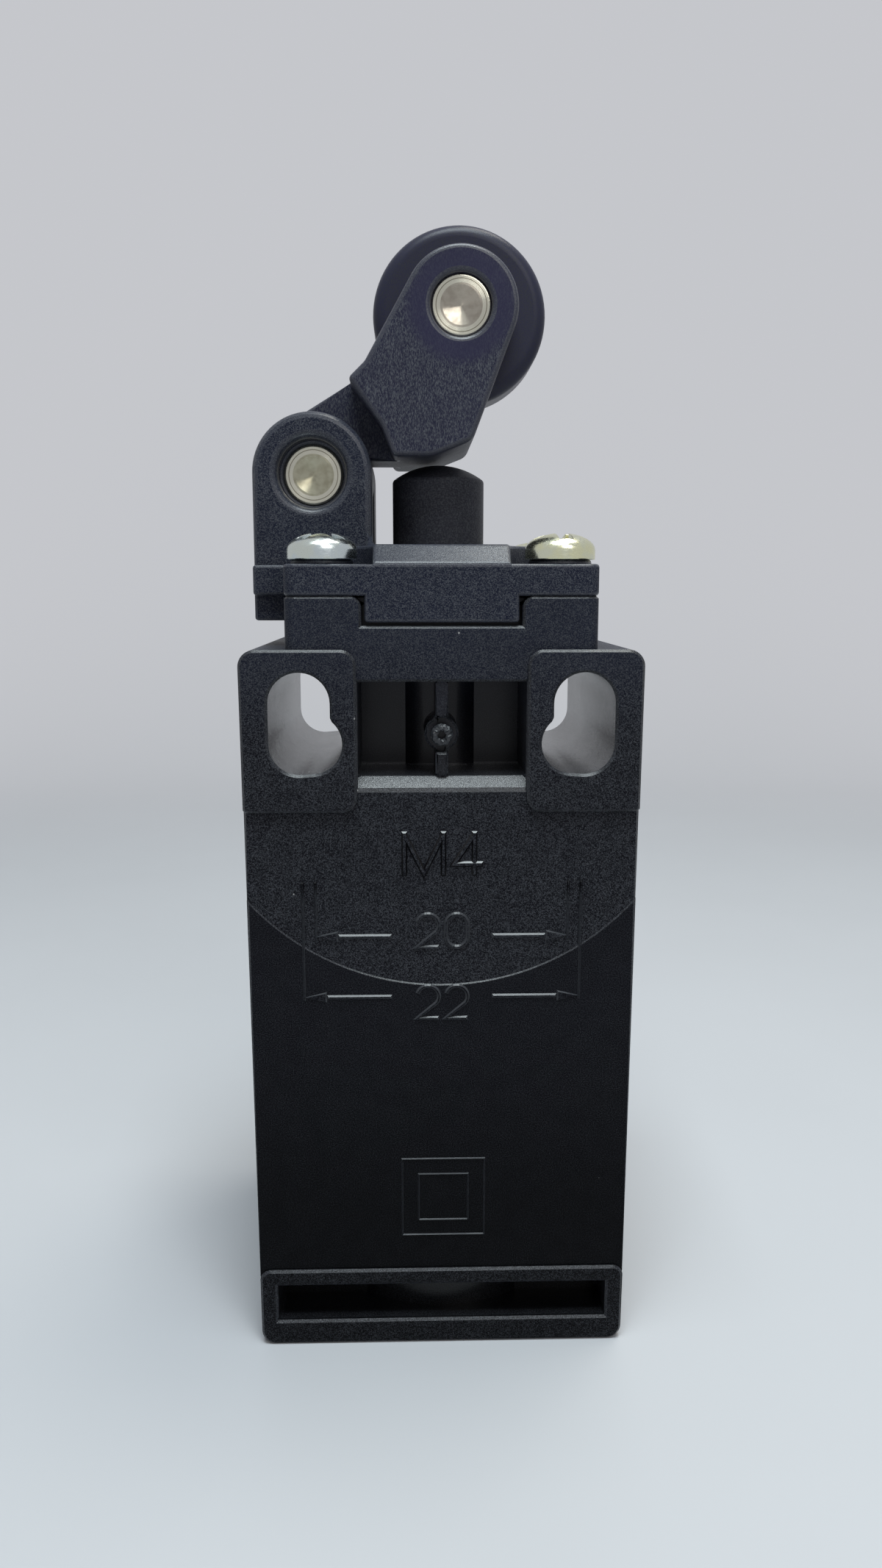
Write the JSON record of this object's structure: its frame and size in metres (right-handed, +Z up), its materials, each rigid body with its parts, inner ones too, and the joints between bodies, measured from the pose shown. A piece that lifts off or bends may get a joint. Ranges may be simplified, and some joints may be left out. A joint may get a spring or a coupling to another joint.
{
  "type": "roller lever limit switch",
  "caption": "Compact moulded limit switch: a one-piece roller lever on a clevis presses a sprung plunger; key-shaped mounting slots, screwed cover and threaded cable entry.",
  "frame": {"origin": "middle of the base", "axes": "+Z up from the base to the roller, +Y from the mounting face to the front cover, +X to the right as seen from the mounting face"},
  "size_m": [0.0312, 0.03, 0.0914],
  "materials": {
    "housing_plastic": "near-black moulded plastic with a fine spark-eroded grain",
    "head_plastic": "near-black moulded plastic with a fine grain",
    "lever_plastic": "dark grey glass-filled plastic with an upright grain",
    "roller_plastic": "smooth blue-black moulded plastic",
    "plunger_plastic": "smooth black moulded plastic",
    "pin_steel": "turned stainless steel",
    "screw_zinc": "bright zinc plate",
    "spring_steel": "drawn spring wire",
    "seal_rubber": "black rubber",
    "block_plastic": "pale moulded plastic",
    "block_cover_plastic": "red moulded plastic",
    "carrier_plastic": "white moulded plastic",
    "contact_brass": "stamped brass"
  },
  "bodies": {
    "switch_body": {"housing": "housing_plastic", "front_cover": "housing_plastic", "cover_gasket": "seal_rubber", "cover_screws": "screw_zinc", "head": "head_plastic", "head_gasket": "seal_rubber", "head_screws": "screw_zinc", "plunger_seal": "seal_rubber", "return_spring": "spring_steel", "pivot_pin": "pin_steel", "contact_block": "block_plastic", "block_cover": "block_cover_plastic", "block_screws": "screw_zinc", "carrier_spring": "spring_steel", "nc_terminal_left": "contact_brass", "nc_terminal_right": "contact_brass", "no_terminal_left": "contact_brass", "no_terminal_right": "contact_brass", "terminal_screws": "screw_zinc", "clamp_plates": "screw_zinc"},
    "lever": {"roller_lever": "lever_plastic", "roller_pin": "pin_steel"},
    "roller": {"roller": "roller_plastic"},
    "plunger": {"plunger": "plunger_plastic"},
    "carrier": {"contact_carrier": "carrier_plastic", "nc_bridge": "contact_brass", "no_bridge": "contact_brass", "contact_springs": "spring_steel"}
  },
  "joints": [
    {"name": "lever_pivot", "type": "hinge", "parent": "switch_body", "child": "lever", "pos_m": [-0.0102, -0.0025, 0.0717], "axis": [0, 1, 0], "range_deg": [0, 20], "stiffness_Nm_per_rad": 0.15, "springref_deg": -14.32},
    {"name": "roller_spin", "type": "hinge", "parent": "lever", "child": "roller", "pos_m": [0.00167, -0.0025, 0.0844], "axis": [0, 1, 0], "continuous": true},
    {"name": "plunger_slide", "type": "slide", "parent": "switch_body", "child": "plunger", "axis": [0, 0, -1], "range_m": [0, 0.0035], "deforming": ["return_spring"]},
    {"name": "carrier_slide", "type": "slide", "parent": "switch_body", "child": "carrier", "axis": [0, 0, -1], "range_m": [0, 0.0035], "deforming": ["carrier_spring"]}
  ],
  "couplings": [
    {"joint": "plunger_slide", "follows": "lever_pivot", "m_per_rad": 0.01},
    {"joint": "carrier_slide", "follows": "lever_pivot", "m_per_rad": 0.01}
  ]
}
